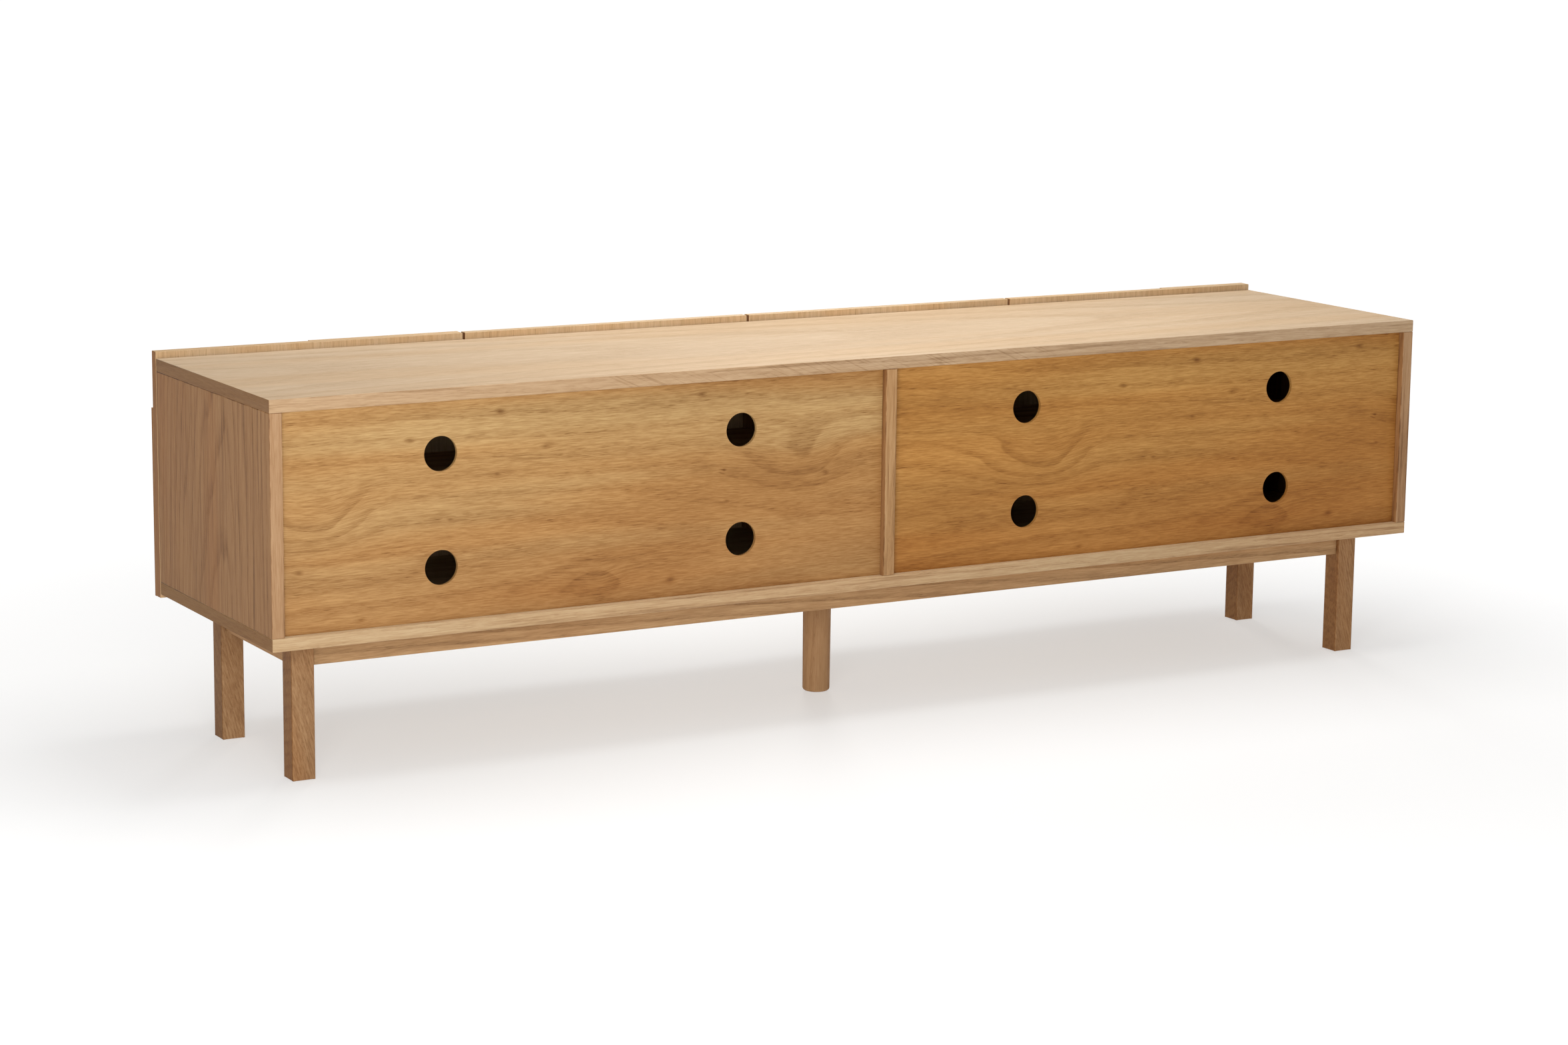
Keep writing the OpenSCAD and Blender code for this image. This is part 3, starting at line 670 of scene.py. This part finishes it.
def make_world():
    """White where the camera sees it, grey in reflections, and a faint warm light on the cabinet."""
    world = bpy.data.worlds.new("studio")
    bpy.context.scene.world = world
    world.use_nodes = True
    nodes, links = world.node_tree.nodes, world.node_tree.links
    nodes.clear()
    path, output = nodes.new("ShaderNodeLightPath"), nodes.new("ShaderNodeOutputWorld")

    def background(colour, strength):
        made = nodes.new("ShaderNodeBackground")
        made.inputs["Color"].default_value = colour
        made.inputs["Strength"].default_value = strength
        return made.outputs[0]

    def choose(ray, otherwise, chosen):
        made = nodes.new("ShaderNodeMixShader")
        links.new(path.outputs[ray], made.inputs[0])
        links.new(otherwise, made.inputs[1])
        links.new(chosen, made.inputs[2])
        return made.outputs[0]

    ambient = background(AMBIENT_COLOUR, AMBIENT)
    lit = choose("Is Glossy Ray", ambient, background(WHITE, REFLECTED))
    links.new(choose("Is Camera Ray", lit, background(WHITE, 1.0)), output.inputs[0])


def make_floor():
    """A wide pale floor. Its paint glows, and more so far from the cabinet, where the soft lights
    don't reach, so that it is pale everywhere and the shadow stays soft."""
    mesh = bpy.data.meshes.new("floor")
    corners = [(-FLOOR_HALF, -FLOOR_HALF, 0.0), (FLOOR_HALF, -FLOOR_HALF, 0.0)]
    corners += [(FLOOR_HALF, FLOOR_HALF, 0.0), (-FLOOR_HALF, FLOOR_HALF, 0.0)]
    mesh.from_pydata(corners, [], [(0, 1, 2, 3)])
    floor = bpy.data.objects.new("floor", mesh)
    bpy.context.scene.collection.objects.link(floor)
    g = Graph("floor_paint")
    cloud = g.noise(g.place, (1.5, 1.5, 1.5), 0.4, detail=2.0)
    colour = g.mix(cloud.outputs[0], srgb(*FLOOR_GREY), srgb(*FLOOR_LIGHT_GREY))
    grit = g.noise(g.place, (400.0, 400.0, 400.0), 1.0, detail=2.0)
    x, y, _ = g.split(g.place)
    away = g.math("SQRT", g.times_plus(x, x, g.math("MULTIPLY", y, y)))
    glow = g.grade(away, *FLOOR_GLOW_FROM_TO, FLOOR_GLOW_NEAR, FLOOR_GLOW_FAR)
    sheen = g.times_plus(cloud.outputs[0], 0.1, 0.8)
    rough = g.bump(grit.outputs[0], 0.0002, 0.2)
    material = g.shade(colour, sheen, rough, Emission_Color=WHITE)
    shader = next(n for n in material.node_tree.nodes if n.type == "BSDF_PRINCIPLED")
    g.put(shader.inputs["Emission Strength"], glow)
    mesh.materials.append(material)


# ---------------------------------------------------------------- the cabinet
nodes = frame["nodes"]
bpy.context.scene.view_settings.view_transform = "Standard"
make_camera()
make_floor()
make_lights()
make_world()

LOOKS = {}


def paint(material, *names):
    for name in names:
        LOOKS[name] = material


slab = {
    "band": ("X", "YZX"),
    "spacing": 0.013,
    "ring": 0.10,
    "patch": 0.22,
    "streak": 0.36,
    "fibre": 0.17,
    # the board ends, normal to X, get painted shade
    "tints": (("Y", EDGE_TINT), ("X", END_SHADE_TINT)),
    "lines": 0.3,
    "lines_axis": "Y",
    # painted shade: the bevels of the top and bottom boards darken, as shade does in the grooves at the
    # joints
    "edge": -0.12,
    "sway": 0.012,
}
paint(oak("oak_top", "XYZ", 11.0, PALE, net=(-0.35, 0.55), **slab), "top_panel")
paint(oak("oak_bottom", "XYZ", 27.0, EDGING, **slab), "bottom_panel")

upright = {
    "spacing": 0.017,
    "wander": 3.8,
    "ring": 0.24,
    "ring_width": 0.35,
    "streak": 0.5,
    # painted shade: the bevels of the side panels and divider darken strongly, drawing the dark grooves
    # at the joints and rear edges
    "edge": -0.5,
    "lines": 0.26,
    "lines_scale": (4.0, 190.0, 190.0),
}
# the side panels and the divider get painted shade on their faces normal to X
side = dict(upright, tints=(("X", SIDE_SHADE_TINT), ("Y", UPRIGHT_TINT)))
divider = dict(upright, tints=(("X", SIDE_SHADE_TINT), ("Y", DIVIDER_TINT)))
left = oak("oak_side_left", "ZYX", 5.0, BROWN, pith=(-0.02, -0.95), lean=(0.05, 0.1), **side)
right = oak("oak_side_right", "ZYX", 8.0, BROWN, pith=(0.03, 0.95), lean=(0.05, -0.1), **side)
paint(left, "side_panel_left")
paint(right, "side_panel_right")
paint(oak("oak_divider", "ZYX", 15.0, BROWN, pith=(0.0, 0.05), **divider), "centre_divider")

veneer = {
    "knots": VENEER_KNOTS,
    "whorls": VENEER_WHORLS,
    "pith": (0.30, 0.10),
    "spacing": 0.026,
    "wander": 3.0,
    "ring": 0.14,
    "patch": 0.65,
    "patch_scale": (1.8, 13.0, 13.0),
    "streak": 0.52,
    "streak_scale": (24.0, 420.0, 420.0),
    "fibre": 0.20,
    "fibre_scale": (46.0, 740.0, 740.0),
    "pore": 0.34,
    "pore_scale": (46.0, 1000.0, 1000.0),
    "sway": 0.014,
    "whorl": 0.07,
    # the back panels darken towards the bottom, partly as painted shade
    "low_shade_and_tone": VENEER_LOW_SHADE_AND_TONE,
}
paint(oak("oak_back_right", "XZY", 3.0, GOLDEN, **veneer), "back_panel_right")
# the left back panel is the same veneer in painted shade, darker and warmer
paint(oak("oak_back_left", "XZY", 3.0, GOLDEN_IN_SHADE, shift=SHEET_SHIFT, **veneer), "back_panel_left")

paint(oak("oak_shelf", "XYZ", 33.0, INNER, band=("Y", "XZY")), "shelf_left", "shelf_right")
paint(oak("oak_rail_long", "XZY", 41.0, RAIL), "rear_rail", "front_rail")
paint(oak("oak_rail_short", "YZX", 44.0, RAIL), "side_rail_left", "side_rail_right")

square_leg = {
    "pith": (0.03, 0.08),
    "spacing": 0.005,
    "ring": 0.12,
    "patch_scale": (5.0, 24.0, 24.0),
    "slope": -0.26,
    "streak": 0.5,
    "streak_scale": (22.0, 230.0, 230.0),
    "fibre": 0.22,
    "fibre_scale": (46.0, 520.0, 520.0),
    # painted shade on the legs' sides normal to X
    "tints": (("X", LEG_SHADE_TINT),),
}
legs = ("leg_rear_left", "leg_rear_right", "leg_front_left", "leg_front_right")
paint(oak("oak_leg", "ZXY", 52.0, LEG, **square_leg), *legs)
round_leg = {"spacing": 0.008, "ring": 0.10, "patch": 0.35, "streak": 0.30, "fibre": 0.10}
paint(oak("oak_centre_leg", "ZXY", 55.0, ROUND_LEG, **round_leg), "centre_leg")

# the door ends, normal to X, get painted shade
door_wood = {"band": ("Z", "XYZ"), "streak": 0.2, "ring": 0.12, "tints": (("X", DOOR_END_SHADE_TINT),)}
for number in (1, 2, 3, 4):
    pith = (0.1 * number, -0.3)
    door = oak(f"oak_door_{number}", "ZXY", 60.0 + 7 * number, DOOR, pith=pith, **door_wood)
    parts = [n for n in nodes if n.startswith(f"door_{number}_") and ("_panel" in n or "_raised" in n)]
    paint(door, *parts)

beech = oak("beech_fittings", "XYZ", 71.0, PALE, ring=0.1, pore=0.1)
paint(beech, "case_dowels", "base_dowels", "corner_blocks")

# hardware takes its look from its material slot in the record
slots = {
    "steel": metal("nickel_steel", srgb(196, 194, 190), srgb(150, 146, 140), 0.34, STEEL_MARKS),
    "zinc": metal("zinc_casting", srgb(172, 174, 176), srgb(128, 130, 132), 0.46, ZINC_MARKS),
    "catch_plastic": plastic("catch_plastic", srgb(226, 222, 214), srgb(214, 209, 199), 0.45),
    "nylon": plastic("foot_nylon", srgb(60, 56, 52), srgb(48, 45, 42), 0.5),
    "bumper_rubber": plastic(
        "clear_bumper", srgb(222, 222, 218), srgb(206, 206, 202), 0.3, Transmission_Weight=0.6
    ),
}
for part in frame["record"]["subparts"]:
    if part["material_slot"] in slots:
        LOOKS[part["node"]] = slots[part["material_slot"]]

weld_boards = weld_group(BOARD_EDGE)
weld_small = weld_group(HARDWARE_EDGE)
smooth = smooth_group(SMOOTH_BELOW)
for name, piece in nodes.items():
    piece.data.materials.clear()
    piece.data.materials.append(LOOKS[name])
    if LOOKS[name].name.startswith("oak"):
        soften(piece, weld_boards, smooth, BOARD_BEVEL)
    else:
        soften(piece, weld_small, smooth, HARDWARE_BEVEL)
